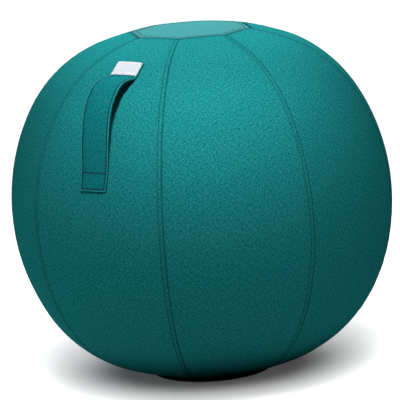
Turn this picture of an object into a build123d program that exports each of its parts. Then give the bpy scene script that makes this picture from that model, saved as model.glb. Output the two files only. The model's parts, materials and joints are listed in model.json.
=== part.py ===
from build123d import *
from math import acos, asin, cos, degrees, pi, radians, sin, sqrt, tan
import os

os.makedirs("parts", exist_ok=True)

# Ball: eight sewn gores between two octagonal end panels.
# Lengths are in millimetres. A tilt is the angle, in degrees, of the wall's outward normal above level.
gore_count = 8
seam_radius = 325.0           # axis to seam at the equator
side_radius = 346.0           # meridian arc of the side wall
shoulder_radius = 232.0       # meridian arc of the shoulder
crown_radius = 414.0          # meridian arc beside the end panels
shoulder_start = 28.0         # tilt where the side arc ends
crown_start = 69.0            # tilt where the shoulder arc ends
gore_bend = 398.0             # radius of a gore across its width
cloth = 2.0                   # thickness of the cover fabric
seam_gap = 0.2                # between two panels at a seam
side_strips = 7               # flat strips that follow the side arc, an odd number
shoulder_strips = 4           # flat strips that follow a shoulder arc
top_corner_radius = 102.0     # axis to a corner of the top panel
base_corner_radius = 118.0    # axis to a corner of the base panel
top_crown = 2.0               # rise of the top panel in its middle

# Floor ring under the base panel
ring_radius = 103.0           # outer radius of the sleeve
ring_width = 30.0
ring_height = 10.5
ring_chamfer = 2.6            # on the outer edges of the sleeve
ring_sleeve_wall = 1.6
ring_fit = 0.2                # core to sleeve, and sleeve to base panel
ring_sides = 48               # flats of the ring round the axis

# Carrying handle, sewn flat on the first gore at both ends
handle_width = 54.0
handle_offset = 8.0           # middle of the strap beside the middle of the gore
handle_thickness = 3.5
handle_fit = 0.3              # between the sewn ends and the gore
handle_top = 60.0             # tilt at the upper end
handle_leaves = 49.4          # tilt where the strap leaves the gore
handle_crest = 43.0           # tilt and stand-off at the upper bend
handle_crest_stand = 28.5
handle_belly = 32.5           # tilt and stand-off at the lower bend
handle_belly_stand = 31.0
handle_lands = 17.0           # tilt where the strap meets the gore again
handle_bottom = 11.4          # tilt at the lower end
handle_leave_bend = 20.0      # bend radii of the strap's middle line
handle_crest_bend = 30.0
handle_belly_bend = 50.0
handle_land_bend = 60.0

# Blank label over the upper end of the handle
label_width = 51.5
label_thickness = 0.8
label_top = 59.6              # tilt at the label's upper edge
label_bottom = 51.7           # tilt at the label's lower edge
label_fit = 0.1

# Zip in a rear seam, along the side arc
zip_seam = 202.5              # bearing of the seam, counted from the handle
zip_slot_tilt = 26.6          # half the length of the slot between the gores
zip_slot_width = 13.0
zip_tape_overhang = 8.0       # tape past each end of the slot
zip_tape_width = 16.0
zip_tape = 0.6                # thickness of the tape
zip_tape_fit = 0.3            # tape below the inner face of the cloth
zip_slit = 1.4                # between the two halves of the chain
zip_chain_width = 2.3         # one half of the chain
zip_chain_height = 2.4
zip_chain_fit = 0.05          # chain and stops on the tape
zip_stop_length = 4.0
zip_stop_height = 2.6
zip_stop_fit = 0.3            # stop to chain, and stop to slider
zip_stop_inset = 1.0          # stop inside the end of the slot

# Zip slider
slider_length = 14.0
slider_width = 11.6           # at the mouth, which faces down
slider_waist = 9.4            # at the closed end
slider_plate = 1.5
slider_fit = 0.3              # running clearance on chain and tape
slider_rounding = 1.2
slider_post = 0.8             # width of the divider in the slit
slider_post_length = 3.4
bridge_length = 11.0
bridge_width = 2.4
bridge_bar = 1.5

# Zip puller
puller_bar = 1.6              # thickness of the puller and of its bar
puller_length = 29.0
puller_width = 8.0
puller_grip_width = 6.2
puller_eye_length = 10.0      # from the middle of the bar
puller_hole_radius = 1.3
puller_fit = 0.35             # round the bridge

# Air bladder and valve
bladder_sides = 16            # flats of the bladder round the axis
bladder_wall = 1.2
bladder_fit = 0.5             # between the bladder and the cover
bladder_end_inset = 4.0       # end faces of the bladder inside the end panels' sides
valve_neck_radius = 8.0
valve_bore_radius = 4.2
valve_flange_radius = 13.0
valve_flange = 1.6
valve_depth = 13.0
valve_fit = 0.1
plug_head_radius = 6.4
plug_head = 1.0
plug_stem_length = 11.0

half_gore = pi / gore_count


def meridian_arcs():
    """Centre, radius and end tilt of the three tangent arcs of a seam's upper half."""
    side = Vector(seam_radius - side_radius, 0)
    turn = Vector(cos(radians(shoulder_start)), sin(radians(shoulder_start)))
    shoulder = side + turn * (side_radius - shoulder_radius)
    turn = Vector(cos(radians(crown_start)), sin(radians(crown_start)))
    crown = shoulder + turn * (shoulder_radius - crown_radius)
    return [
        (side, side_radius, shoulder_start),
        (shoulder, shoulder_radius, crown_start),
        (crown, crown_radius, 90.0),
    ]


def seam_point(tilt):
    """Distance from the axis, and height above the ball's middle, of a seam at this tilt."""
    centre, radius = next((c, r) for c, r, end in meridian_arcs() if abs(tilt) <= end)
    reach = centre.X + radius * cos(radians(tilt))
    height = centre.Y + radius * sin(radians(abs(tilt)))
    return reach, height if tilt >= 0 else -height


def end_tilt(corner_radius):
    """Tilt of a seam where it meets the corner of an end panel."""
    centre, radius, _ = meridian_arcs()[-1]
    return degrees(acos((corner_radius - centre.X) / radius))


def swell_at(tilt):
    """Height of a gore's middle over the chord between its two seams."""
    chord = seam_point(tilt)[0] * sin(half_gore)
    return gore_bend - sqrt(gore_bend**2 - chord**2)


def panel_lift(tilt):
    """Height over the middle of an end panel's edge, halfway between a gore's corner and its middle."""
    return seam_point(tilt)[1] + swell_at(tilt) * sin(radians(tilt)) / 2


top_tilt = end_tilt(top_corner_radius)
base_tilt = end_tilt(base_corner_radius)
top_apothem = top_corner_radius * cos(half_gore)
base_apothem = base_corner_radius * cos(half_gore)
base_edge = ring_height + ring_fit
middle_height = base_edge + panel_lift(base_tilt)
top_edge = middle_height + panel_lift(top_tilt)


def gore_middle(tilt, lift=0.0):
    """Point over the middle line of the first gore, lifted off the cloth along its normal."""
    reach, height = seam_point(tilt)
    rise = swell_at(tilt) + lift
    out = reach * cos(half_gore) + rise * cos(radians(tilt))
    return Vector(0, -out, middle_height + height + rise * sin(radians(tilt)))


def steps(low, high, count):
    """Values from low to high in this many equal steps."""
    return [low + (high - low) * i / count for i in range(count + 1)]


def fold_tilts():
    """Tilts at the folds between the strips of a gore, from lower to upper crown."""
    side = steps(-shoulder_start, shoulder_start, side_strips)
    shoulder = steps(shoulder_start, crown_start, shoulder_strips)[1:]
    return [-tilt for tilt in reversed(shoulder)] + side + shoulder


def gore_wedge(apothem, low, high):
    """Space of the first gore between its two seams and outside an end panel, from low to high."""
    near = apothem + seam_gap / 2
    far = seam_radius + 4 * cloth
    apex = seam_gap / 2 / sin(half_gore)
    near_half = (near - apex) * tan(half_gore)
    far_half = (far - apex) * tan(half_gore)
    corners = [(-near_half, -near), (near_half, -near), (far_half, -far), (-far_half, -far)]
    return extrude(Pos(0, 0, low) * make_face(Polyline(*corners, close=True)), high - low)


def gore():
    """One gore: its arched section swept up the meridian, trimmed at the seams and both end panels."""
    overrun = 3 * cloth
    folds = [gore_middle(tilt) for tilt in fold_tilts()]
    base = gore_middle(-base_tilt)
    top = gore_middle(top_tilt)
    base += (base - folds[0]).normalized() * overrun
    top += (top - folds[-1]).normalized() * overrun
    meridian = Polyline(base, *folds, top)
    half = seam_radius * sin(half_gore) + overrun
    drop = gore_bend - sqrt(gore_bend**2 - half**2)
    inner_drop = gore_bend - sqrt((gore_bend - cloth) ** 2 - half**2)
    outer = ThreePointArc((-half, drop), (0, 0), (half, drop))
    inner = ThreePointArc((half, inner_drop), (0, cloth), (-half, inner_drop))
    section = make_face([outer, Line(outer @ 1, inner @ 0), inner, Line(inner @ 1, outer @ 0)])
    across = Plane(meridian @ 0, x_dir=(1, 0, 0), z_dir=meridian % 0)
    body = sweep(across * section, path=meridian, transition=Transition.RIGHT)
    room = gore_wedge(top_apothem, middle_height, middle_height + seam_radius)
    room += gore_wedge(base_apothem, 0, middle_height)
    return body & room


def flat_sided(rings, sides):
    """Closed form with flat sides through rings of corners at (distance from the axis, height)."""
    bearings = [2 * pi * (side + 0.5) / sides for side in range(sides)]
    loops = [[Vector(r * sin(b), -r * cos(b), z) for b in bearings] for r, z in rings]
    faces = [Face(Wire.make_polygon(loops[0])), Face(Wire.make_polygon(loops[-1]))]
    for lower, upper in zip(loops, loops[1:]):
        for side in range(sides):
            corners = [lower[side - 1], lower[side], upper[side], upper[side - 1]]
            faces.append(Face(Wire.make_polygon(corners)))
    return Solid(Shell(faces))


def top_panel():
    """Octagon of cloth, slightly crowned by the air behind it."""
    corner = top_corner_radius - seam_gap
    crown = [(0.7 * corner, top_edge + 0.6 * top_crown), (0.35 * corner, top_edge + top_crown)]
    block = flat_sided([(corner, top_edge - 4 * cloth), (corner, top_edge), *crown], gore_count)
    return block - Pos(0, 0, -cloth) * block


def base_panel():
    """Flat octagon of cloth over the floor ring."""
    corner = base_corner_radius - seam_gap
    return flat_sided([(corner, base_edge), (corner, base_edge + cloth)], gore_count)


def ring_form(inset):
    """Plain ring inside the sleeve's outline, drawn in by inset."""
    low = inset
    high = ring_height - inset
    reach = ring_radius - inset
    bore = ring_radius - ring_width + inset
    block = flat_sided([(reach, low), (reach, high)], ring_sides)
    return block - flat_sided([(bore, low - cloth), (bore, high + cloth)], ring_sides)


def ring_sleeve():
    """Sewn tube that stops the ball from rolling, with its outer edges eased."""
    eased = ring_radius - ring_chamfer
    upper = ring_height - ring_chamfer
    outline = [(eased, 0), (ring_radius, ring_chamfer), (ring_radius, upper), (eased, ring_height)]
    tube = flat_sided(outline, ring_sides) & ring_form(0)
    return tube - ring_form(ring_sleeve_wall)


def ring_core():
    """Filling of the sleeve."""
    return ring_form(ring_sleeve_wall + ring_fit)


def band_over_gore(corners, bends, thickness, width):
    """Flat band across the first gore whose middle line turns at (tilt, lift) corners."""
    points = [gore_middle(tilt, lift) for tilt, lift in corners]
    path = FilletPolyline(*[(point.Y, point.Z) for point in points], radius=bends)
    return extrude(Plane.YZ.offset(handle_offset) * trace(path, thickness), width / 2, both=True)


def handle_strap():
    """Strap sewn down flat at both ends, standing off the gore between them as a grip."""
    seat = handle_fit + handle_thickness / 2
    corners = [
        (handle_top, seat),
        ((handle_top + handle_leaves) / 2, seat),
        (handle_leaves, seat),
        (handle_crest, handle_crest_stand),
        (handle_belly, handle_belly_stand),
        (handle_lands, seat),
        ((handle_lands + handle_bottom) / 2, seat),
        (handle_bottom, seat),
    ]
    bends = [
        shoulder_radius,
        handle_leave_bend,
        handle_crest_bend,
        handle_belly_bend,
        handle_land_bend,
        side_radius,
    ]
    return band_over_gore(corners, bends, handle_thickness, handle_width)


def label():
    """Blank woven label over the strap's upper end."""
    seat = handle_fit + handle_thickness + label_fit + label_thickness / 2
    tilts = [label_top, (label_top + label_bottom) / 2, label_bottom]
    corners = [(tilt, seat) for tilt in tilts]
    return band_over_gore(corners, [shoulder_radius], label_thickness, label_width)


# The zip is drawn with its seam towards -Y and turned to its bearing.
# Its arc is the side arc of the seam, so its pieces are carried round that arc's centre.
zip_axis = Axis((0, side_radius - seam_radius, middle_height), (-1, 0, 0))
strip_sag = side_radius * (1 - cos(radians(shoulder_start / side_strips)))
tape_top = side_radius - cloth - strip_sag - zip_tape_fit
seam_slope = tan(half_gore - asin(seam_radius * sin(half_gore) / gore_bend))
tape_fall = zip_tape_width * seam_slope + zip_tape_width**2 / (2 * gore_bend)
tape_slope = tape_fall / zip_tape_width
chain_half = zip_slit / 2 + zip_chain_width
chain_bottom = tape_top + zip_chain_fit
chain_top = chain_bottom + zip_chain_height
tilt_per_mm = degrees(1 / side_radius)
stop_end = zip_slot_tilt - zip_stop_inset * tilt_per_mm
chain_end = stop_end - (zip_stop_length + zip_stop_fit) * tilt_per_mm
slider_end = chain_end - (slider_length / 2 + zip_stop_fit) * tilt_per_mm


def zip_place(shape):
    """Turn a zip piece from the -Y side to the bearing of its seam."""
    return Rot(0, 0, zip_seam) * shape


def along_zip(corners, low, high):
    """Carry a section, given as (sideways, distance from the arc's centre) corners, from tilt to tilt."""
    centre = zip_axis.position.Y
    outline = Polyline(*[(across, centre - radius) for across, radius in corners], close=True)
    section = Pos(0, 0, middle_height) * make_face(outline)
    return zip_place(revolve(section, zip_axis, high - low).rotate(zip_axis, low))


def zip_slot():
    """Opening between the two gores beside the zip."""
    half = zip_slot_width / 2
    low = side_radius - 8 * cloth
    high = side_radius + 4 * cloth
    corners = [(-half, low), (half, low), (half, high), (-half, high)]
    return along_zip(corners, -zip_slot_tilt, zip_slot_tilt)


def zip_tape_half(side):
    """One tape of the zip, sewn under the edge of its gore."""
    inner = side * zip_slit / 2
    outer = side * zip_tape_width
    edge = tape_top - tape_fall
    corners = [(inner, tape_top), (outer, edge), (outer, edge - zip_tape), (inner, tape_top - zip_tape)]
    end = zip_slot_tilt + zip_tape_overhang * tilt_per_mm
    return along_zip(corners, -end, end)


def zip_chain_half(side):
    """One half of the closed chain, on the inner edge of its tape."""
    near = side * zip_slit / 2
    far = side * chain_half
    corners = [(near, chain_bottom), (far, chain_bottom), (far, chain_top), (near, chain_top)]
    return along_zip(corners, -chain_end, chain_end)


def zip_stop(low):
    """Stop across both tapes at one end of the chain, from tilt low upwards."""
    top = chain_bottom + zip_stop_height
    corners = [(-chain_half, chain_bottom), (chain_half, chain_bottom), (chain_half, top), (-chain_half, top)]
    return along_zip(corners, low, low + zip_stop_length * tilt_per_mm)


lip_bottom = tape_top + slider_fit
plate_bottom = chain_top + slider_fit
plate_top = plate_bottom + slider_plate
keel_top = tape_top - zip_tape - slider_width / 2 * tape_slope - slider_fit
bar_level = plate_top + slider_fit + puller_bar / 2
bridge_under = bar_level + puller_bar / 2 + slider_fit
bridge_top = bridge_under + bridge_bar
bar_along = -(bridge_length / 2 - bridge_bar - slider_fit - puller_bar / 2)


def slider_plane(radius):
    """Plane facing out at the zip's middle, this far from the arc's centre, with Y up the zip."""
    return Plane((0, zip_axis.position.Y - radius, middle_height), x_dir=(1, 0, 0), z_dir=(0, -1, 0))


def slider_outline():
    """Slider seen from outside: wide at the mouth, narrow where the closed chain leaves it."""
    mouth = slider_width / 2
    waist = slider_waist / 2
    end = slider_length / 2
    right = [(mouth, -end), (mouth, -0.3 * end), (waist, 0.4 * end), (waist, end)]
    left = [(-across, along) for across, along in reversed(right)]
    shape = make_face(Polyline(*right, *left, close=True))
    return fillet(shape.vertices(), slider_rounding)


def slider_bridge():
    """Arch over the slider's plate that holds the puller's bar, seen from the side."""
    arch = RectangleRounded(bridge_length, 2 * (bridge_top - plate_top), bridge_bar)
    arch -= Rectangle(bridge_length - 2 * bridge_bar, 2 * (bridge_under - plate_top))
    arch -= Pos(0, -bridge_top) * Rectangle(2 * bridge_length, 2 * bridge_top)
    origin = (0, zip_axis.position.Y - plate_top, middle_height)
    side_view = Plane(origin, x_dir=(0, 0, 1), z_dir=(1, 0, 0))
    return side_view * extrude(arch, bridge_width / 2, both=True)


def zip_slider():
    """Slider at the lower end: lipped plate over the chain, keel under it, divider and bridge."""
    outline = slider_outline()
    body = slider_plane(lip_bottom) * extrude(outline, plate_top - lip_bottom)
    channel = Rectangle(2 * (chain_half + slider_fit), 2 * slider_length)
    body -= slider_plane(lip_bottom) * extrude(channel, plate_bottom - lip_bottom)
    body += slider_plane(keel_top - slider_plate) * extrude(outline, slider_plate)
    foot = (slider_post_length + slider_rounding - slider_length) / 2
    post = Pos(0, foot) * Rectangle(slider_post, slider_post_length)
    body += slider_plane(keel_top) * extrude(post, plate_bottom - keel_top)
    body += slider_bridge()
    return zip_place(body.rotate(zip_axis, -slider_end))


def puller_pin():
    """Middle of the puller's bar with the slider at the lower end, before the turn to the bearing."""
    bar = Vertex(0, zip_axis.position.Y - bar_level, middle_height + bar_along)
    return Vector(bar.rotate(zip_axis, -slider_end).center())


def zip_puller():
    """Flat puller with an eye round the bridge, hanging straight down from its bar."""
    half = puller_width / 2
    grip = puller_grip_width / 2
    neck = -puller_eye_length - 1.5 * puller_bar
    tip = grip - puller_length
    right = [(half, 0), (half, neck), (grip, neck - half), (grip, tip)]
    left = [(-across, along) for across, along in reversed(right)]
    end = ThreePointArc(right[-1], (0, -puller_length), left[0])
    blade = make_face([Polyline(*right), end, Polyline(*left), Line(left[-1], right[0])])
    eye = Rectangle(bridge_width + 2 * puller_fit, puller_eye_length)
    blade -= Pos(0, -puller_eye_length / 2) * eye
    blade -= Pos(0, tip) * Circle(puller_hole_radius)
    body = extrude(blade, puller_bar / 2, both=True)
    body += Rot(0, 90, 0) * Cylinder(puller_bar / 2, puller_width)
    return zip_place(Plane(puller_pin(), x_dir=(1, 0, 0), z_dir=(0, -1, 0)) * body)


def bladder_rings(inset):
    """Radius and height of the bladder's folds, inset from the cover's outer face."""
    middles = [gore_middle(tilt, -inset) for tilt in fold_tilts()]
    low = (base_apothem - bladder_end_inset, base_edge + inset)
    high = (top_apothem - bladder_end_inset, top_edge - inset)
    return [low, *[(-point.Y, point.Z) for point in middles], high]


def valve_plane(depth):
    """Plane facing out, this deep under the bladder's flat behind the zip."""
    rings = bladder_rings(cloth + bladder_fit)
    flat = rings[len(rings) // 2][0] * cos(pi / bladder_sides) - depth
    bearing = Vector(0, -1, 0).rotate(Axis.Z, zip_seam)
    return Plane(bearing * flat + Vector(0, 0, middle_height), z_dir=bearing)


def air_bladder():
    """Hollow bladder that fills the cover, with the hole for its valve."""
    inset = cloth + bladder_fit
    shell = flat_sided(bladder_rings(inset), bladder_sides)
    shell -= flat_sided(bladder_rings(inset + bladder_wall), bladder_sides)
    hole = extrude(Circle(valve_neck_radius + valve_fit), valve_depth, both=True)
    return shell - valve_plane(0) * hole


def valve_seat():
    """Soft tube with a flange inside the skin and a counterbore for the plug's head."""
    flange_depth = bladder_wall + valve_fit + valve_flange
    seat = valve_plane(valve_depth) * extrude(Circle(valve_neck_radius), valve_depth)
    seat += valve_plane(flange_depth) * extrude(Circle(valve_flange_radius), valve_flange)
    seat -= valve_plane(valve_depth) * extrude(Circle(valve_bore_radius), valve_depth)
    recess = plug_head + valve_fit
    return seat - valve_plane(recess) * extrude(Circle(plug_head_radius + valve_fit), recess)


def valve_plug():
    """Push-in plug whose head lies flush in the seat."""
    plug = valve_plane(plug_head) * extrude(Circle(plug_head_radius), plug_head)
    stem = Circle(valve_bore_radius - valve_fit)
    return plug + valve_plane(plug_stem_length) * extrude(stem, plug_stem_length)


def save(name, shape):
    """Write one piece to its own file."""
    export_step(shape.solid(), f"parts/{name}.step")


first_gore = gore()
slot = zip_slot()
for index in range(gore_count):
    bearing = 360.0 / gore_count * index
    panel = Rot(0, 0, bearing) * first_gore
    beside_zip = abs(bearing - zip_seam) < 360.0 / gore_count
    save(f"gore_panel_{index + 1}", panel - slot if beside_zip else panel)

save("top_panel", top_panel())
save("base_panel", base_panel())
save("ring_sleeve", ring_sleeve())
save("ring_core", ring_core())
save("handle_strap", handle_strap())
save("label", label())
save("zip_tape_left", zip_tape_half(-1))
save("zip_tape_right", zip_tape_half(1))
save("zip_chain_left", zip_chain_half(-1))
save("zip_chain_right", zip_chain_half(1))
save("zip_stop_upper", zip_stop(chain_end + zip_stop_fit * tilt_per_mm))
save("zip_stop_lower", zip_stop(-stop_end))
save("zip_slider", zip_slider())
save("zip_puller", zip_puller())
save("air_bladder", air_bladder())
save("valve_seat", valve_seat())
save("valve_plug", valve_plug())

print("middle of the ball", round(middle_height, 3), "top", round(top_edge + top_crown, 3))
print("slider turns about", zip_axis.position.rotate(Axis.Z, zip_seam), "through", round(2 * slider_end, 3))
print("along", zip_axis.direction.rotate(Axis.Z, zip_seam))
print("puller turns about", puller_pin().rotate(Axis.Z, zip_seam))
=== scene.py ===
import json
import math

import bpy
import numpy as np
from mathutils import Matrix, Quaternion, Vector


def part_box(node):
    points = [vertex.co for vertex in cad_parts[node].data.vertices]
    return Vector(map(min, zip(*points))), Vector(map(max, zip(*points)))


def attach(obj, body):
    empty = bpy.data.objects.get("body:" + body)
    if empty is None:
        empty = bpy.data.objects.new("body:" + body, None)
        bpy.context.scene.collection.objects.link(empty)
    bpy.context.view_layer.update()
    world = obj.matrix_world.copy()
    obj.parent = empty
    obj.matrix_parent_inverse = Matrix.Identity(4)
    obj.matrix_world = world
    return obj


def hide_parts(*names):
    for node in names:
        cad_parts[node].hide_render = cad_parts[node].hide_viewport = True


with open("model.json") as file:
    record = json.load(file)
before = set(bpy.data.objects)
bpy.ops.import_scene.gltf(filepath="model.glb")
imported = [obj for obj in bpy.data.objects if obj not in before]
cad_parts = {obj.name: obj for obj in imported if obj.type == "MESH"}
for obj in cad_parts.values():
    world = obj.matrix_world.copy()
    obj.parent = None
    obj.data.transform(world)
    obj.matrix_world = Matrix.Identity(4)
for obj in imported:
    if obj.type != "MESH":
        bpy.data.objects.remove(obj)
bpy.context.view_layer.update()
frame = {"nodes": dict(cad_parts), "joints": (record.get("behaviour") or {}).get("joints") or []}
nodes = frame["nodes"]
joints = {joint["name"]: joint for joint in frame["joints"]}
mm = 0.001


# Meshes from whole arrays of points

def onGrid(*values):
    # values of any grid shape, spread over one grid and kept side by side
    return np.stack(np.broadcast_arrays(*values), -1)


def gridQuads(rows, cols, start=0, closeRows=False, closeCols=False):
    # quads of a rows x cols grid, turning right then up, so that right x up points out
    r = np.arange(rows if closeRows else rows - 1)[:, None]
    c = np.arange(cols if closeCols else cols - 1)[None, :]
    up, right = (r + 1) % rows, (c + 1) % cols
    corners = onGrid(r * cols + c, r * cols + right, up * cols + right, up * cols + c)
    return start + corners.reshape(-1, 4)


def fanTriangles(first, steps, tip):
    # triangles from one ring of points, which starts at this index, to a tip
    ring = first + np.arange(steps)
    return np.stack([ring, np.roll(ring, -1), np.full(steps, tip)], -1)


def rimQuads(border, count):
    # quads that join the border of a cloth's outer face to the same points of its inner face
    after = np.roll(border, -1)
    return np.stack([after, border, border + count, after + count], -1)


def repeatFaces(faces, copies, size):
    # the faces of one shape, repeated for copies that have this many points each
    offset = (np.arange(copies) * size)[:, None, None]
    return [(block[None] + offset).reshape(-1, block.shape[1]) for block in faces]


def addMesh(name, points, faces, uv=None, shade=None):
    # points (n, 3), faces a list of index arrays, uv and shade one value for each point
    mesh = bpy.data.meshes.new(name)
    mesh.from_pydata(points.reshape(-1, 3), [], [tuple(f) for block in faces for f in block.tolist()])
    mesh.polygons.foreach_set("use_smooth", np.full(len(mesh.polygons), True))
    if uv is not None:
        corner = np.empty(len(mesh.loops), np.int32)
        mesh.loops.foreach_get("vertex_index", corner)
        layer = mesh.uv_layers.new(name="cloth")
        layer.data.foreach_set("uv", uv.reshape(-1, 2)[corner].astype(np.float32).ravel())
    if shade is not None:
        # painted shade above 0 and painted highlight below 0, one value for each point
        painted_shading = mesh.attributes.new("painted_shading", "FLOAT", "POINT")
        painted_shading.data.foreach_set("value", shade.astype(np.float32).ravel())
    mesh.update()
    piece = bpy.data.objects.new(name, mesh)
    bpy.context.scene.collection.objects.link(piece)
    return piece


def addSheet(name, outer, inner, uv, shade, innerShade=None):
    # two grids of the same shape, outer and inner face of one cloth, closed by a rim round the border
    rows, cols = outer.shape[:2]
    count = rows * cols
    index = np.arange(count).reshape(rows, cols)
    border = np.concatenate([index[0, :-1], index[:-1, -1], index[-1, :0:-1], index[:0:-1, 0]])
    faces = [gridQuads(rows, cols), gridQuads(rows, cols, count)[:, ::-1], rimQuads(border, count)]
    shades = np.concatenate([shade, shade if innerShade is None else innerShade])
    return addMesh(name, np.concatenate([outer, inner]), faces, np.concatenate([uv, uv]), shades)


def discRows(values):
    # rings of a disc from the rim inwards, one row for each point, with the middle kept once
    return np.concatenate([values[:-1].reshape(-1, *values.shape[2:]), values[-1, :1]])


def addDisc(name, outer, inner, uv, shade):
    # both faces of a round cloth, each of rings from the rim inwards and one point in the middle
    rings, steps = outer.shape[0] - 1, outer.shape[1]
    count = rings * steps + 1
    top = gridQuads(rings, steps, closeCols=True)
    fan = fanTriangles((rings - 1) * steps, steps, count - 1)
    faces = [top, fan, top[:, ::-1] + count, fan[:, ::-1] + count, rimQuads(np.arange(steps), count)]
    points, places, shades = [
        np.concatenate([discRows(first), discRows(second)])
        for first, second in ((outer, inner), (uv, uv), (shade, shade))
    ]
    return addMesh(name, points, faces, places, shades)


def smoothStep(low, high, value):
    # 0 below low, 1 above high, and an S curve between them
    share = np.clip((value - low) / (high - low), 0, 1)
    return share * share * (3 - 2 * share)


def bell(distance, width):
    # exp(-(distance / width)^2): 1 at no distance, fading over the width
    return np.exp(-((distance / width) ** 2))


def waves(along, seed, pitch):
    # three sines of unrelated pitch added up, a steady stand-in for hand-sewn unevenness, from -1 to 1
    turns = 2 * np.pi * along / pitch
    sines = ((1.0, 1.0), (1.618, 2.3), (0.587, 4.1))     # pace and start of each
    return sum(np.sin(pace * turns + start * seed) for pace, start in sines) / len(sines)


def finePoints(low, high, edge, fine, coarse):
    # values from low to high, close together within an edge distance of both ends
    span = high - low
    near = np.linspace(0, edge, fine, endpoint=False)
    middle = np.linspace(edge, span - edge, coarse)
    return low + np.concatenate([near, middle, span - near[::-1]])


def unit(vectors):
    # each vector divided by its length
    return vectors / np.linalg.norm(vectors, axis=-1, keepdims=True)


def lineLengths(line):
    # distance of each point along a line from its start, the steps added up
    return np.concatenate([[0], np.cumsum(np.linalg.norm(np.diff(line, axis=0), axis=1))])


def finishPiece(piece, material, stands=()):
    # material and body of a piece, and the CAD nodes that it stands for
    piece.data.materials.append(material)
    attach(piece, "ball")
    if stands:
        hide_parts(*stands)
    return piece


# Form of the ball: three tangent arcs for each seam, and a gore that swells a little between two seams

ball = {
    "gores": 8,
    "seamRadius": 0.325,
    "sideRadius": 0.346,
    "shoulderRadius": 0.232,
    "crownRadius": 0.414,
    "shoulderStart": math.radians(28.0),
    "crownStart": math.radians(69.0),
    "goreBend": 0.398,
    "topCorner": 0.102,
    "baseCorner": 0.118,
    "middle": joints["zip_travel"]["pos_m"][2],
    "cloth": 2.0 * mm,
    "flatten": 0.6,              # share of the swell that is lost at the end panels
    "flattenFrom": 0.85,         # share of the crown's tilt where that sets in
    "tableSteps": 2001,
}
halfGore = math.pi / ball["gores"]


def tiltWay(tilt):
    # out and up at this tilt
    return np.array([math.cos(tilt), math.sin(tilt)])


def arcCentres():
    # each arc's centre lies on the last one's end normal, so that the arcs are tangent
    side = np.array([ball["seamRadius"] - ball["sideRadius"], 0.0])
    shoulder = side + tiltWay(ball["shoulderStart"]) * (ball["sideRadius"] - ball["shoulderRadius"])
    crown = shoulder + tiltWay(ball["crownStart"]) * (ball["shoulderRadius"] - ball["crownRadius"])
    return np.stack([side, shoulder, crown])


arcMiddles = arcCentres()
arcRadii = np.array([ball["sideRadius"], ball["shoulderRadius"], ball["crownRadius"]])
topTilt = math.acos((ball["topCorner"] - arcMiddles[2, 0]) / ball["crownRadius"])
baseTilt = math.acos((ball["baseCorner"] - arcMiddles[2, 0]) / ball["crownRadius"])


def seamPoint(tilt):
    # reach = centre + radius cos(tilt), height = centre + radius sin(tilt), on the arc that holds this tilt
    steep = np.abs(tilt)
    arc = np.digitize(steep, (ball["shoulderStart"], ball["crownStart"]), right=True)
    reach = arcMiddles[arc, 0] + arcRadii[arc] * np.cos(steep)
    height = arcMiddles[arc, 1] + arcRadii[arc] * np.sin(steep)
    return reach, np.sign(tilt) * height


def meridianLength(tilt):
    # arc length from the equator, radius times angle on each arc in turn
    steep = np.abs(tilt)
    first = np.minimum(steep, ball["shoulderStart"]) * ball["sideRadius"]
    second = np.clip(steep - ball["shoulderStart"], 0, ball["crownStart"] - ball["shoulderStart"])
    third = np.maximum(steep - ball["crownStart"], 0)
    return np.sign(tilt) * (first + second * ball["shoulderRadius"] + third * ball["crownRadius"])


meridianTilts = np.linspace(-baseTilt, topTilt, ball["tableSteps"])
meridianTable = meridianLength(meridianTilts)
baseEnd, topEnd = float(meridianTable[0]), float(meridianTable[-1])


def tiltAt(length):
    # inverse of meridianLength
    return np.interp(length, meridianTable, meridianTilts)


def halfChord(tilt):
    # half the straight distance from seam to seam, reach sin(half a gore's angle)
    return seamPoint(tilt)[0] * math.sin(halfGore)


def fullSwell(half):
    # rise of an arc of the gore's bend over a chord of this half length
    return ball["goreBend"] - np.sqrt(ball["goreBend"] ** 2 - half**2)


def toBearing(bearing, across, out, height):
    # out along (sin b, -cos b), across along (cos b, sin b)
    x = across * np.cos(bearing) + out * np.sin(bearing)
    y = across * np.sin(bearing) - out * np.cos(bearing)
    return onGrid(x, y, ball["middle"] + height)


def gorePoint(bearing, across, tilt, lift=0.0):
    # chord between the seams + swell (1 - (across / half chord)^2) along the wall's normal + lift
    reach, height = seamPoint(tilt)
    half = halfChord(tilt)
    ends = smoothStep(ball["flattenFrom"] * ball["crownStart"], topTilt, np.abs(tilt))
    swell = fullSwell(half) * (1 - ball["flatten"] * ends)
    share = across / half
    lean = np.arctan(2 * swell * share / half)
    rise = swell * (1 - share**2) + lift * np.cos(lean)
    out = reach * math.cos(halfGore) + rise * np.cos(tilt)
    return toBearing(bearing, across + lift * np.sin(lean), out, height + rise * np.sin(tilt))


def goreNormal(bearing, across, tilt):
    # the way a point moves when it is lifted
    return unit(gorePoint(bearing, across, tilt, mm) - gorePoint(bearing, across, tilt))


# Shaders

class Socket:
    # a shader socket that takes part in Python arithmetic by adding Math nodes
    def __init__(self, paint, socket):
        self.paint, self.socket = paint, socket

    def math(self, operation, first, second):
        return self.paint.node("ShaderNodeMath", {"operation": operation}, {0: first, 1: second})

    def __add__(self, other):
        return self.math("ADD", self, other)

    def __sub__(self, other):
        return self.math("SUBTRACT", self, other)

    def __rsub__(self, other):
        return self.math("SUBTRACT", other, self)

    def __mul__(self, other):
        return self.math("MULTIPLY", self, other)

    def __pow__(self, other):
        return self.math("POWER", self, other)

    __radd__ = __add__
    __rmul__ = __mul__

    def atLeast(self, least):
        return self.math("MAXIMUM", self, least)

    def within(self, low, high):
        values = {0: self, 1: low, 2: high}
        return self.paint.node("ShaderNodeMapRange", {"interpolation_type": "SMOOTHSTEP"}, values)


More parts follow.
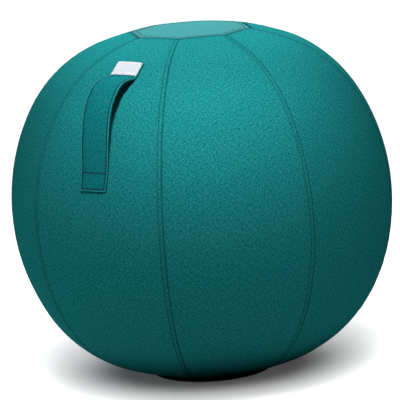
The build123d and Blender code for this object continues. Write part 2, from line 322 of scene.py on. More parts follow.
class Paint:
    # the nodes of a material or of the studio air
    # node() adds any node, and shader() sets the main node's sockets
    def __init__(self, owner, main="Principled BSDF"):
        owner.use_nodes = True
        self.owner, self.tree = owner, owner.node_tree
        self.main = self.tree.nodes[main]

    def put(self, target, value):
        if isinstance(value, Socket):
            self.tree.links.new(value.socket, target)
        else:
            target.default_value = value

    def node(self, kind, settings=None, values=None, out=0):
        made = self.tree.nodes.new(kind)
        for key, value in (settings or {}).items():
            setattr(made, key, value)
        for key, value in (values or {}).items():
            self.put(made.inputs[key], value)
        return Socket(self, made.outputs[out])

    def shader(self, values):
        for key, value in values.items():
            self.put(self.main.inputs[key], value)
        return self.owner

    def objectPlace(self):
        return self.node("ShaderNodeTexCoord", out="Object")

    def clothPlace(self):
        return self.node("ShaderNodeUVMap", {"uv_map": "cloth"})

    # painted shade above 0 and painted highlight below 0, as each piece keeps it
    def painted_shading(self):
        return self.node("ShaderNodeAttribute", {"attribute_name": "painted_shading"}, out="Fac")

    def axes(self, place, names):
        return [self.node("ShaderNodeSeparateXYZ", None, {0: place}, out=name) for name in names]

    def stretched(self, place, scale):
        return self.node("ShaderNodeMapping", None, {"Vector": place, "Scale": scale})

    def noise(self, place, size, detail=2.0, rough=0.5):
        values = {"Vector": place, "Scale": 1.0 / size, "Detail": detail, "Roughness": rough}
        return self.node("ShaderNodeTexNoise", None, values)

    def bands(self, place, way, scale, distortion, detail=2.0):
        values = {"Vector": place, "Scale": scale, "Distortion": distortion, "Detail": detail}
        return self.node("ShaderNodeTexWave", {"bands_direction": way}, values, out="Fac")

    def blendColours(self, share, first, second):
        return self.node("ShaderNodeMix", {"data_type": "RGBA"}, {0: share, 6: first, 7: second}, out=2)

    def bump(self, height, distance, strength=1.0):
        values = {"Height": height, "Distance": distance, "Strength": strength}
        return self.node("ShaderNodeBump", None, values)


def colour(red, green, blue):
    # a tint in linear light, not see-through
    return (red, green, blue, 1.0)


feltLook = {
    "deep": colour(0.0005, 0.062, 0.068),        # dark and light fibres of the melange
    "light": colour(0.0150, 0.198, 0.200),
    "blur": 2.6 * mm,                            # cloudy patches, flecks and single fibres
    "fleck": 1.0 * mm,
    "fibre": 1.0 * mm,
    "slim": 0.22,                                # width of a fibre against its length
    "shares": (0.20, 0.34, 0.23),                # of patches, flecks and each way of the fibres
    "melange": (0.39, 0.61),                     # from all dark to all light
    "napShares": (0.4, 0.3),                     # of flecks and fibres in the raised nap
    "nap": 0.5 * mm,
    # painted shade tint, and under it the painted highlight tint
    "paintedShadeTint": colour(0.001, 0.020, 0.026),
    "paintedHighlightTint": colour(0.020, 0.250, 0.250),     # painted highlight along turned edges
    "roughness": 0.92,
    "sheen": 0.0,
}
topLook = {**feltLook, "sheen": 0.10}            # its nap stands up, and looks pale from a low angle
strapLook = {
    **feltLook,
    "deep": colour(0.0004, 0.050, 0.057),
    "light": colour(0.0085, 0.160, 0.168),
    "fleck": 0.8 * mm,
}


def makeFelt(name, look):
    # patches, flecks and fibres both ways added up, from the dark tint to the light one
    paint = Paint(bpy.data.materials.new(name))
    place = paint.clothPlace()
    clouds = paint.noise(place, look["blur"], 1.0)
    flecks = paint.noise(place, look["fleck"], 2.0, 0.6)
    fibres = paint.noise(paint.stretched(place, (look["slim"], 1.0, 1.0)), look["fibre"], 1.0)
    cross = paint.noise(paint.stretched(place, (1.0, look["slim"], 1.0)), look["fibre"], 1.0)
    cloudShare, fleckShare, fibreShare = look["shares"]
    melange = clouds * cloudShare + flecks * fleckShare + (fibres + cross) * fibreShare
    cloth = paint.blendColours(melange.within(*look["melange"]), look["deep"], look["light"])
    painted_shading = paint.painted_shading()                      # above 0 painted shade in seams, grooves and round brinks, below 0 painted highlight on turned edges
    highlighted = paint.blendColours((0.0 - painted_shading).atLeast(0.0), cloth, look["paintedHighlightTint"])
    shaded = paint.blendColours(painted_shading.atLeast(0.0), highlighted, look["paintedShadeTint"])
    fleckNap, fibreNap = look["napShares"]
    return paint.shader({
        "Base Color": shaded,
        "Roughness": look["roughness"],
        "Specular IOR Level": 0.0,
        "Sheen Weight": look["sheen"],
        "Sheen Roughness": 0.4,
        "Normal": paint.bump((fibres + cross) * fibreNap + flecks * fleckNap, look["nap"], 0.5),
    })


threadLook = {
    "dark": colour(0.002, 0.003, 0.014),
    "light": colour(0.008, 0.012, 0.040),
    "ply": 0.5 * mm,
}


def makeThread(name, look):
    # twisted plies as a fine noise in tint, gloss and height
    paint = Paint(bpy.data.materials.new(name))
    ply = paint.noise(paint.objectPlace(), look["ply"], 2.0)
    return paint.shader({
        "Base Color": paint.blendColours(ply, look["dark"], look["light"]),
        "Roughness": 0.65 + 0.25 * ply,
        "Specular IOR Level": 0.08,
        "Normal": paint.bump(ply, 0.15 * mm),
    })


ribbonLook = {
    "light": colour(0.36, 0.39, 0.42),
    "dark": colour(0.27, 0.30, 0.33),
    "rib": 0.8 * mm,
    "thread": 0.5 * mm,
    "cloud": 9.0 * mm,
}


def makeRibbon(name, look):
    # satin ribbon: fine ribs across, finer ones along, and a soft cloudy tone
    paint = Paint(bpy.data.materials.new(name))
    place = paint.clothPlace()
    ribs = paint.bands(place, "Y", 1.0 / (3 * look["rib"]), 0.6, 1.0)
    threads = paint.noise(paint.stretched(place, (1.0, 0.2, 1.0)), look["thread"], 1.0)
    clouds = paint.noise(place, look["cloud"], 2.0)
    tone = (ribs * 0.25 + threads * 0.35 + clouds * 0.4).within(0.30, 0.75)
    woven = paint.blendColours(tone, look["dark"], look["light"])
    return paint.shader({
        # painted shade, along the label's hem fold, draws it towards the dark tint
        "Base Color": paint.blendColours(paint.painted_shading(), woven, look["dark"]),
        "Roughness": 0.45 + 0.25 * threads,
        "Sheen Weight": 0.2,
        "Normal": paint.bump(ribs + threads, 0.12 * mm, 0.6),
    })


def makeWoven(name, dark, light, thread, roughness):
    # plain weave: warp and weft waves across each other, over a cloudy tone
    paint = Paint(bpy.data.materials.new(name))
    place = paint.clothPlace()
    warp, weft = [paint.bands(place, way, 0.32 / thread, 0.4) for way in "XY"]
    weave = warp * 0.5 + weft * 0.5
    clouds = paint.noise(place, 12 * thread, 2.0)
    tone = (weave * 0.6 + clouds * 0.4).within(0.2, 0.8)
    return paint.shader({
        # painted shade, beside a tape's cord, draws it towards the dark tint
        "Base Color": paint.blendColours(paint.painted_shading(), paint.blendColours(tone, dark, light), dark),
        "Roughness": roughness - 0.15 * weave,
        "Specular IOR Level": 0.1,
        "Normal": paint.bump(weave, 0.3 * thread, 0.8),
    })


def makeMoulded(name, tint, worn, roughness, grain, metallic, coat):
    # smooth moulded or lacquered stock: cloudy gloss, fine grain and a worn tone in patches
    paint = Paint(bpy.data.materials.new(name))
    place = paint.objectPlace()
    clouds = paint.noise(place, 6.0 * mm, 3.0)
    fine = paint.noise(place, grain, 2.0)
    return paint.shader({
        "Base Color": paint.blendColours((clouds * 0.7 + fine * 0.3).within(0.45, 0.75), tint, worn),
        "Roughness": roughness + 0.18 * (clouds - 0.5) + 0.12 * (fine - 0.5),
        "Metallic": metallic,
        "Coat Weight": coat,
        "Normal": paint.bump(fine, 0.08 * mm, 0.5),
    })


wovenLooks = {                   # dark tint, light tint, thread, roughness
    "dark_ring_cloth": (colour(0.004, 0.005, 0.006), colour(0.022, 0.024, 0.027), 0.9 * mm, 0.85),
    "zip_tape_cloth": (colour(0.002, 0.035, 0.040), colour(0.010, 0.110, 0.110), 0.7 * mm, 0.8),
}
mouldedLooks = {                 # tint, worn tint, roughness, grain, metallic, coat
    "coil_nylon": (colour(0.003, 0.020, 0.022), colour(0.012, 0.055, 0.056), 0.42, 0.3 * mm, 0.0, 0.0),
    "zip_lacquer": (colour(0.012, 0.013, 0.014), colour(0.09, 0.088, 0.082), 0.38, 0.25 * mm, 0.6, 0.3),
    "bladder_film": (colour(0.12, 0.13, 0.135), colour(0.20, 0.21, 0.215), 0.55, 0.8 * mm, 0.0, 0.0),
    "valve_rubber": (colour(0.13, 0.14, 0.145), colour(0.22, 0.23, 0.235), 0.6, 0.4 * mm, 0.0, 0.0),
    "plug_plastic": (colour(0.70, 0.70, 0.67), colour(0.55, 0.55, 0.52), 0.4, 0.4 * mm, 0.0, 0.0),
    "ring_foam": (colour(0.02, 0.02, 0.021), colour(0.05, 0.05, 0.05), 0.9, 0.9 * mm, 0.0, 0.0),
}
felt = makeFelt("teal_felt", feltLook)
topFelt = makeFelt("teal_felt_top", topLook)
strapFelt = makeFelt("teal_felt_strap", strapLook)
thread = makeThread("navy_thread", threadLook)
ribbon = makeRibbon("pale_ribbon", ribbonLook)
woven = {name: makeWoven(name, *look) for name, look in wovenLooks.items()}
moulded = {name: makeMoulded(name, *look) for name, look in mouldedLooks.items()}
print("finishes ready")


# Stitches: small capsules laid along a line on the cloth

stitch = {
    "pitch": 3.3 * mm,
    "length": 2.5 * mm,
    "width": 1.0 * mm,
    "height": 0.75 * mm,
    "sunk": 0.2,                 # share of its height that lies in the cloth
    "askew": 0.10,               # most that it turns aside, by the sine of its number times the swing
    "swing": 12.9898,
    "rings": 4,
    "sides": 6,
}
strapStitch = {**stitch, "length": 2.7 * mm, "width": 1.7 * mm, "height": 1.0 * mm}


def capsule(rings, sides):
    # unit capsule along x: radius (1 - x^4)^(1/2), with a point at each end
    x = np.cos(np.linspace(0, np.pi, rings + 2)[1:-1])[:, None]
    turn = np.linspace(0, 2 * np.pi, sides, endpoint=False)[None, :]
    radius = np.sqrt(1 - x**4)
    body = onGrid(x, radius * np.cos(turn), radius * np.sin(turn)).reshape(-1, 3)
    points = np.concatenate([body, [[1, 0, 0], [-1, 0, 0]]])
    front = fanTriangles(0, sides, rings * sides)
    back = fanTriangles((rings - 1) * sides, sides, rings * sides + 1)[:, ::-1]
    return points, [gridQuads(rings, sides, closeCols=True)[:, ::-1], front, back]


def atPlaces(values, along, where):
    # values of a line at these distances along it, each axis by itself
    return np.stack([np.interp(where, along, values[:, axis]) for axis in range(3)], -1)


def layStitches(line, normal, size):
    # a capsule every pitch along the line, lengthwise on it and a little askew, partly sunk in the cloth
    along = lineLengths(line)
    count = max(1, int(round(along[-1] / size["pitch"])))
    where = (np.arange(count) + 0.5) * along[-1] / count
    reach = 0.3 * size["length"]                 # it points from this far behind to this far ahead
    ahead = unit(atPlaces(line, along, where + reach) - atPlaces(line, along, where - reach))
    up = unit(atPlaces(normal, along, where))
    side = np.cross(up, ahead)
    ahead = ahead + side * (size["askew"] * np.sin(size["swing"] * np.arange(count)))[:, None]
    points, faces = capsule(size["rings"], size["sides"])
    half = np.array([size["length"], size["width"], size["height"]]) / 2
    middle = atPlaces(line, along, where) + up * (half[2] * (1 - 2 * size["sunk"]))
    turned = np.einsum("kj,njx->nkx", points * half, np.stack([ahead, side, up], 1))
    return (middle[:, None] + turned).reshape(-1, 3), repeatFaces(faces, count, len(points))


def addStitches(name, runs, size=stitch):
    # several runs of stitches as one piece
    points, faces, start = [], [], 0
    for line, normal in runs:
        placed, blocks = layStitches(line, normal, size)
        points.append(placed)
        faces += [block + start for block in blocks]
        start += len(placed)
    return finishPiece(addMesh(name, np.concatenate(points), faces), thread)


# Gores: cloth that dips into the seam on every side, with a row of topstitch along its right seam

gore = {
    "rows": 260,
    "edgeColumns": 14,
    "middleColumns": 22,
    "edge": 14.0 * mm,           # band beside a seam with close columns
    "edgeMost": 0.25,            # share of the gore's width that it never passes
    "edgeShare": 0.11,           # share of the grid that it takes
    "gap": 0.1 * mm,             # cloth to seam plane
    "rollWidth": 4.2 * mm,       # cloth rolls into the seam over this width, down to this depth
    "rollDepth": 1.75 * mm,
    "stitchIn": 6.6 * mm,        # topstitch to seam
    "stitchDip": 0.55 * mm,
    "stitchSpread": 1.9 * mm,
    "stitchEnds": (3.0 * mm, 4.0 * mm),          # topstitch to base and top panel
    "stitchSteps": 700,
    "pucker": 0.30 * mm,
    "puckerPitch": 17.0 * mm,
    "puckerReach": 22.0 * mm,
    "slack": 0.7 * mm,           # broad unevenness of the tight cloth, and its pitch along and across
    "slackPitch": (0.29, 0.21),
    "calm": 12.0 * mm,           # no unevenness at the end panels, all of it this far off
    "shadeWidth": 1.1 * mm,      # painted shade along a side seam, and along the seam round the top panel
    "shade": 0.55,
    "topShadeWidth": 4.6 * mm,
    "topShade": 0.95,
    "dipShade": 0.15,
    "clothShift": (0.37, 0.11),  # each gore is cut from another place of the cloth
}

zipper = {
    "bearing": math.radians(202.5),
    "slotTilt": math.radians(26.6),
    "slotHalf": 6.5 * mm,
    "slotCorner": 9.0 * mm,
    "tapeTop": 342.857 * mm,     # distance from the middle of the side arc
    "tapeFall": 1.53 * mm,       # the tape's outer edge lies this much lower
    "tapeWidth": 16.0 * mm,
    "tape": 0.6 * mm,
    "overhang": 8.0 * mm,
    "slitHalf": 0.7 * mm,
    "rows": 160,
    "columns": 16,
    "cord": 0.12 * mm,           # raised cord along the tape, at this share of its width
    "cordAt": 0.22,
    "cordSpread": 0.05,
    "line": 0.5,                 # painted shade beside it
    "lineAt": 0.3,
    "lineSpread": 0.03,
}


def rollIn(distance, width):
    # 1 at the seam, falling along a quarter circle to 0 at this width
    share = 1 - np.clip(distance / width, 0, 1)
    return 1 - np.sqrt(1 - share**2)


def slotEdge(tilt):
    # half width of the zip's slot at this tilt, with rounded ends
    past = (np.abs(tilt) - zipper["slotTilt"]) * ball["sideRadius"] + zipper["slotCorner"]
    share = np.clip(past / zipper["slotCorner"], 0, 1)
    return zipper["slotHalf"] * np.sqrt(1 - share**2)


def besideZip(bearing, hand):
    # whether the gore's seam on this hand, -1 left or 1 right, holds the zip
    return np.isclose((bearing + hand * halfGore) % (2 * np.pi), zipper["bearing"])


def goreGrid(number):
    # rows along the meridian, and columns from seam to seam that lie close together beside the seams
    bearing = 2 * halfGore * number
    length = finePoints(baseEnd, topEnd, gore["edge"], gore["edgeColumns"], gore["rows"])[:, None]
    tilt = tiltAt(length)
    half = halfChord(tilt)
    left = -half + np.maximum(gore["gap"], slotEdge(tilt) * besideZip(bearing, -1))
    right = half - np.maximum(gore["gap"], slotEdge(tilt) * besideZip(bearing, 1))
    width = right - left
    edge = np.minimum(gore["edge"], gore["edgeMost"] * width)
    band = gore["edgeShare"]
    share = finePoints(0.0, 1.0, band, gore["edgeColumns"], gore["middleColumns"])[None, :]
    near = share / band * edge
    far = width - (1 - share) / band * edge
    between = edge + (share - band) / (1 - 2 * band) * (width - 2 * edge)
    across = left + np.where(share < band, near, np.where(share > 1 - band, far, between))
    return bearing, tilt, length, across, across - left, right - across


def goreLift(number, length, fromLeft, fromRight):
    # slack + puckers beside the seams - dip under the stitches - roll into the nearest seam
    # the waves' starts and pitches differ, so that no two seams match
    fromBase, fromTop = length - baseEnd, topEnd - length
    nearest = np.minimum(np.minimum(fromLeft, fromRight), np.minimum(fromBase, fromTop))
    dip = bell(fromRight - gore["stitchIn"], gore["stitchSpread"])
    pucker = waves(length, number, gore["puckerPitch"]) * bell(fromRight, gore["puckerReach"])
    pucker += waves(length, number + 2.6, gore["puckerPitch"] * 1.3) * bell(fromLeft, gore["puckerReach"])
    longPitch, crossPitch = gore["slackPitch"]
    slack = waves(length, number * 1.7, longPitch) * waves(fromLeft - fromRight, number * 0.9, crossPitch)
    calm = smoothStep(0, gore["calm"], np.minimum(fromBase, fromTop))
    lift = gore["slack"] * slack * calm - gore["rollDepth"] * rollIn(nearest, gore["rollWidth"])
    lift += (gore["pucker"] * pucker - gore["stitchDip"] * dip) * calm
    # painted shade in the seams, round the top panel and in the dip under the stitches
    shade = gore["shade"] * bell(nearest, gore["shadeWidth"]) + gore["dipShade"] * dip
    shade = np.maximum(shade, gore["topShade"] * bell(fromTop, gore["topShadeWidth"]))
    return lift, np.clip(shade, 0, 1)


def buildGore(number):
    # outer face lifted off the swelling gore, inner face one cloth below it
    bearing, tilt, length, across, fromLeft, fromRight = goreGrid(number)
    lift, shade = goreLift(number, length, fromLeft, fromRight)
    outer = gorePoint(bearing, across, tilt, lift)
    inner = gorePoint(bearing, across, tilt, -ball["cloth"])
    shiftAcross, shiftAlong = gore["clothShift"]
    uv = onGrid(across + shiftAcross * number, length + shiftAlong * number)
    piece = addSheet(f"gore_{number + 1}", outer, inner, uv, shade)
    finishPiece(piece, felt, stands=[f"gore_panel_{number + 1}"])
    width = 2 * ball["goreBend"] * math.asin(float(halfChord(0.0)) / ball["goreBend"])


def buildGoreStitches(number):
    # one row beside the right seam, and where the left seam holds the zip one beside that too
    bearing = 2 * halfGore * number
    low, high = gore["stitchEnds"]
    length = np.linspace(baseEnd + low, topEnd - high, gore["stitchSteps"])
    tilt = tiltAt(length)
    half = halfChord(tilt)
    runs = []
    for side in ((1, -1) if besideZip(bearing, -1) else (1,)):
        atZip = side < 0 or besideZip(bearing, 1)
        gap = np.maximum(gore["gap"], slotEdge(tilt) if atZip else 0.0)
        across = side * (half - gap - gore["stitchIn"])
        lift = goreLift(number, length, half + across, half - gap - across)[0]
        line = gorePoint(bearing, across, tilt, lift)
        keep = (side > 0) | (np.abs(tilt) < zipper["slotTilt"])
        runs.append((line[keep], goreNormal(bearing, across, tilt)[keep]))
    addStitches(f"gore_stitches_{number + 1}", runs)


for number in range(ball["gores"]):
    buildGore(number)
    buildGoreStitches(number)
print("gores sewn")


# End panels: octagons whose rim follows the ends of the gores

panel = {
    "gap": 0.1 * mm,
    "shadeWidth": 1.6 * mm,      # painted shade along the seam
    "shade": 0.85,
    "stitchIn": 8.0 * mm,
    "stitchSteps": 1600,
    "crown": 2.2 * mm,
    "rings": 46,
    "steps": 240,
    "closer": 1.8,               # power that draws the rings together at the rim
    "clothShift": 0.05,
}


def octagonReach(corner, turn):
    # apothem / cos(off) from the axis and apothem tan(off) along the side, off its middle at each bearing
    apothem = corner * math.cos(halfGore)
    off = (turn + halfGore) % (2 * halfGore) - halfGore
    return apothem / np.cos(off), apothem * np.tan(off)


def panelHeight(tilt, across, share, rise):
    # mean of the gores' ends + their bow, fading inwards as share^3, + a rise of 1 - share^2
    half = halfChord(tilt)
    rim = gorePoint(0.0, np.clip(across, -half, half), tilt + 0 * across)[..., 2]
    level = rim.mean()
    return level + (rim - level) * share**3 + rise * (1 - share**2)


def panelPoints(turn, radius, height):
    # radius along (sin t, -cos t)
    return onGrid(radius * np.sin(turn), -radius * np.cos(turn), height)


def panelGrid(corner, tilt, rise):
    # rings from the rim inwards, each a share of the octagon
    turn = np.linspace(0, 2 * np.pi, panel["steps"], endpoint=False)[None, :]
    reach, across = octagonReach(corner, turn)
    share = 1 - np.linspace(0, 1, panel["rings"])[:, None] ** panel["closer"]
    fromRim = (1 - share) * corner * math.cos(halfGore) + 0 * turn
    return turn, share * (reach - panel["gap"]), panelHeight(tilt, across, share, rise), fromRim


def buildEndPanel(name, node, corner, tilt, crown, side, cloth, slot):
    # the panel's height - roll into the seam - dip under the stitches, upwards or downwards by side
    grid = panelGrid(corner, tilt, side * crown)
    turn, radius, height, fromRim = [values[:, ::side] for values in grid]
    dip = bell(fromRim - panel["stitchIn"], gore["stitchSpread"])
    lift = -gore["rollDepth"] * rollIn(fromRim, gore["rollWidth"]) - gore["stitchDip"] * dip
    outer = panelPoints(turn, radius, height + side * lift)
    inner = panelPoints(turn, radius, height - side * ball["cloth"])
    # painted shade along the seam and in the dip under the stitches
    shade = panel["shade"] * bell(fromRim, panel["shadeWidth"]) + gore["dipShade"] * dip
    piece = addDisc(name, outer, inner, outer[..., :2] + panel["clothShift"], np.clip(shade, 0, 1))
    finishPiece(piece, cloth, stands=[node])
    apothem = corner * math.cos(halfGore)
    area = ball["gores"] * apothem**2 * math.tan(halfGore)
    2 * apothem
    2 * apothem


def buildPanelStitches():
    # one row inside the top panel's rim, as a smaller octagon
    turn = np.linspace(0, 2 * np.pi, panel["stitchSteps"])
    corner = ball["topCorner"] - panel["stitchIn"] / math.cos(halfGore)
    reach, across = octagonReach(corner, turn)
    share = reach / octagonReach(ball["topCorner"], turn)[0]
    height = panelHeight(topTilt, across, share, panel["crown"]) - gore["stitchDip"]
    line = panelPoints(turn, reach, height)
    run = (line, np.tile([0.0, 0.0, 1.0], (len(line), 1)))
    addStitches("top_panel_stitches", [run])


topSizes = (ball["topCorner"], topTilt, panel["crown"], 1)
baseSizes = (ball["baseCorner"], -baseTilt, 0.0, -1)
buildEndPanel("top_octagon", "top_panel", *topSizes, topFelt, "cover_cloth")
buildEndPanel("base_octagon", "base_panel", *baseSizes, felt, "base_cloth")
buildPanelStitches()
print("end panels sewn")


# Floor ring: a sewn tube with flattened top and underside

ring = {
    "radius": 103.0 * mm,
    "width": 30.0 * mm,
    "height": 10.5 * mm,
    "wall": 1.6 * mm,
    "clearance": 0.2 * mm,       # filling to wall
    "square": 4.0,               # power of the section's superellipse
    "rows": 168,
    "columns": 40,
}


def squareOff(value):
    # sign(v) |v|^(2 / n), which turns a circle into a superellipse
    return np.sign(value) * np.abs(value) ** (2 / ring["square"])


def buildRing(name, node, inset, material):
    # superellipse |x|^n + |z|^n = 1 for the section, turned about the axis
    turn = np.linspace(0, 2 * np.pi, ring["rows"], endpoint=False)[:, None]
    angle = np.linspace(0, 2 * np.pi, ring["columns"], endpoint=False)[None, :]
    halfWidth, halfHeight = ring["width"] / 2, ring["height"] / 2
    middle = ring["radius"] - halfWidth
    radius = middle + (halfWidth - inset) * squareOff(np.cos(angle))
    height = halfHeight + (halfHeight - inset) * squareOff(np.sin(angle))
    points = panelPoints(turn, radius, height)
    uv = onGrid(turn * middle, angle * ring["width"] / math.pi)
    faces = [gridQuads(ring["rows"], ring["columns"], closeRows=True, closeCols=True)[:, ::-1]]
    piece = addMesh(name, points, faces, uv, np.zeros(points.shape[:2]))
    return finishPiece(piece, material, stands=[node])


sleeve = buildRing("floor_ring", "ring_sleeve", 0.0, woven["dark_ring_cloth"])
fillingInset = ring["wall"] + ring["clearance"]
filling = buildRing("floor_ring_filling", "ring_core", fillingInset, moulded["ring_foam"])
print("floor ring ready")


# Handle: a doubled strap whose stand-off from the gore is a smooth curve through a few measured places

handle = {
    "width": 54.0 * mm,
    "thick": 3.5 * mm,
    "crown": 0.4 * mm,           # padding between the two side rows of stitches
    "tilts": (60.0, 55.0, 52.6, 51.2, 50.0, 47.6, 45.0, 42.0, 38.5, 35.0, 31.5, 28.0, 24.0, 20.0, 17.2,
              15.4, 11.4),       # degrees, and at each the stand-off in mm
    "stands": (2.1, 2.1, 2.3, 3.2, 5.4, 13.6, 22.4, 29.0, 31.4, 31.2, 28.8, 24.0, 16.4, 8.2, 3.4, 2.2, 2.1),
    "asideTilts": (60.0, 51.7, 46.0, 40.0, 33.0, 24.0, 15.0, 11.4),
    "asides": (4.6, 6.7, 6.2, 6.8, 6.2, 5.0, 3.0, 2.0),              # mm, strap's middle to gore's middle
    "shares": (0.94, 0.96, 1.00, 1.02, 1.03, 1.03, 0.98, 0.94),      # of the full width
    "hug": 0.25,                 # share of the gore's bend that it keeps where it stands well off
    "hugStand": 6.0 * mm,        # stand-off over which the rest of the bend goes
    "samples": 1500,
    "lengthSteps": (16, 150),    # close and wide steps of the grid
    "widthSteps": (18, 22),
    "edge": 9.0 * mm,            # band with close steps
    "edgeRound": 2.0 * mm,
    "stitchIn": 4.4 * mm,
    "stitchEnd": 3.0 * mm,
    "crossTilt": math.radians(16.2),
    "crossSteps": 60,
    "groove": 1.2 * mm,          # stitches pull the cloth in over this width, down to this depth
    "grooveDepth": 0.8 * mm,
    "grooveUnder": 0.4,          # share of the depth on the inner face
    "grooveShade": 0.5,
    "ripple": 0.12 * mm,
    "ripplePitch": 7.0 * mm,
    "edgeHighlight": 0.55,                # painted highlight on the turned edge
    "edgeHighlightWidth": 1.0 * mm,
    "hemShade": 0.85,            # painted shadow round the brink, fainter above this tilt
    "hemWidth": 0.9 * mm,
    "hemTilt": math.radians(38.0),
    "hemUpper": 0.25,
    "underShade": 0.95,          # painted shade on the brink of the inner face
    "underWidth": 2.5 * mm,
    "clothShift": (2.9, 1.3),
}
strapLow, strapHigh = math.radians(handle["tilts"][-1]), math.radians(handle["tilts"][0])


def strapCurve(places, values, tilt):
    # cubic through values that go from the top down, each slope taken from its two neighbours
    places, values, where = np.array(places[::-1]), np.array(values[::-1]), np.degrees(tilt)
    slope = np.gradient(values, places)
    k = np.clip(np.searchsorted(places, where) - 1, 0, len(places) - 2)
    gap = places[k + 1] - places[k]
    u = (where - places[k]) / gap
    rise = (2 * u**3 - 3 * u**2 + 1) * values[k] + (3 * u**2 - 2 * u**3) * values[k + 1]
    return rise + gap * ((u**3 - 2 * u**2 + u) * slope[k] + (u**3 - u**2) * slope[k + 1])


def strapStand(tilt):
    # stand-off of the strap's middle line from the gore
    return strapCurve(handle["tilts"], handle["stands"], tilt) * mm


def strapShare(tilt):
    # share of the strap's full width
    return strapCurve(handle["asideTilts"], handle["shares"], tilt)


def strapAside(tilt):
    # distance of the strap's middle from the gore's middle
    return strapCurve(handle["asideTilts"], handle["asides"], tilt) * mm


def strapSide(tilt):
    # side view of the strap's middle line, the gore's middle + the stand-off, as (out, height)
    reach, height = seamPoint(tilt)
    rise = fullSwell(halfChord(tilt)) + strapStand(tilt)
    return np.stack([reach * math.cos(halfGore) + rise * np.cos(tilt), height + rise * np.sin(tilt)], -1)


def strapPoint(tilt, across, lift):
    # off the middle line along its normal, bent across like the gore where it lies on it
    nudge = 1e-4
    ahead = unit(strapSide(tilt + nudge) - strapSide(tilt - nudge))
    sideways = across * strapShare(tilt) + strapAside(tilt)
    hug = handle["hug"] + (1 - handle["hug"]) * bell(strapStand(tilt), handle["hugStand"])
    stand = lift - hug * sideways**2 / (2 * ball["goreBend"])
    line = strapSide(tilt)
    out, height = line[..., 0] + stand * ahead[..., 1], line[..., 1] - stand * ahead[..., 0]
    return toBearing(0.0, sideways, out, height)


def strapTilts(low, high, edge, fine, coarse):
    # tilts at chosen distances along the strap's own middle line
    tilt = np.linspace(low, high, handle["samples"])
    along = lineLengths(strapSide(tilt))
    where = finePoints(0, along[-1], edge, fine, coarse)
    return np.interp(where, along, tilt)[:, None], where[:, None]


def bandEdge(distance, radius):
    # half thickness share near a folded edge, a quarter circle that never quite closes
    share = 1 - np.clip(distance / radius, 0, 1)
    return np.sqrt(np.maximum(1 - share**2, 0.01))


def buildStrap():
    # half the thickness + padding + ripple - grooves under the stitches, rounded at the brink
    tilt, along = strapTilts(strapLow, strapHigh, handle["edge"], *handle["lengthSteps"])
    half, inset = handle["width"] / 2, handle["stitchIn"]
    across = finePoints(-half, half, handle["edge"], *handle["widthSteps"])[None, :]
    fromSide = half - np.abs(across)
    fromEnd = np.minimum(along, along[-1] - along)
    brink = np.minimum(fromSide, fromEnd)
    crossLine = np.interp(handle["crossTilt"], tilt[:, 0], along[:, 0])
    sideRows = bell(fromSide - inset, handle["groove"]) * (along > inset)
    crossRows = np.maximum(bell(along - inset, handle["groove"]), bell(along - crossLine, handle["groove"]))
    stitched = np.maximum(sideRows, crossRows * (fromSide > inset))
    fat = bandEdge(fromSide, handle["edgeRound"]) * bandEdge(fromEnd, handle["edgeRound"])
    swell = handle["crown"] * smoothStep(inset, 3 * inset, fromSide)
    calm = smoothStep(inset, 2 * inset, fromSide)
    ripple = handle["ripple"] * waves(along, 1.0, handle["ripplePitch"]) * calm
    outer = (handle["thick"] / 2 + swell + ripple - handle["grooveDepth"] * stitched) * fat
    inner = -(handle["thick"] / 2 - handle["grooveUnder"] * handle["grooveDepth"] * stitched) * fat
    # painted highlight along the turned edge
    edgeHighlight = handle["edgeHighlight"] * bell(brink - handle["edgeRound"], handle["edgeHighlightWidth"])
    # painted shadow round the brink, where the strap's edge meets the gore
    brinkShadow = handle["hemShade"] * bell(brink, handle["hemWidth"])
    brinkShadow = brinkShadow * np.where(tilt < handle["hemTilt"], 1.0, handle["hemUpper"])
    # painted shade in the stitch grooves and painted shadow round the brink, less the painted highlight on
    # the turned edge
    shade = np.clip(handle["grooveShade"] * stitched - edgeHighlight + brinkShadow, -1, 1)
    # painted shade under the strap's brink
    underShade = handle["underShade"] * bell(brink, handle["underWidth"])
    shiftAcross, shiftAlong = handle["clothShift"]
    uv = onGrid(across + shiftAcross, along + shiftAlong)
    points = [strapPoint(tilt, across, lift) for lift in (outer, inner)]
    piece = addSheet("carry_strap", *points, uv, shade, underShade)
    finishPiece(piece, strapFelt, stands=["handle_strap"])


def strapRun(tilt, across, lift):
    # a line on the strap, with its normals
    line = strapPoint(tilt, across, lift)
    return line, strapPoint(tilt, across, lift + mm) - line


def buildStrapStitches():
    # a row along each side, one across the foot and one across the upper end of the sewn land
    tilt, along = [values[:, 0] for values in
                   strapTilts(strapLow, strapHigh, handle["edge"], *handle["lengthSteps"])]
    side = handle["width"] / 2 - handle["stitchIn"]
    lift = handle["thick"] / 2 - 0.5 * handle["grooveDepth"]
    long = tilt[(along > handle["stitchIn"]) & (along < along[-1] - handle["stitchEnd"])]
    spread = np.linspace(-side, side, handle["crossSteps"])
    foot = np.interp(handle["stitchIn"], along, tilt)
    runs = [strapRun(long, sign * side, lift) for sign in (-1, 1)]
    runs += [strapRun(np.full(spread.shape, place), spread, lift) for place in (foot, handle["crossTilt"])]
    addStitches("carry_strap_stitches", runs, strapStitch)


buildStrap()
buildStrapStitches()
print("handle sewn")


# Blank label over the strap's upper end

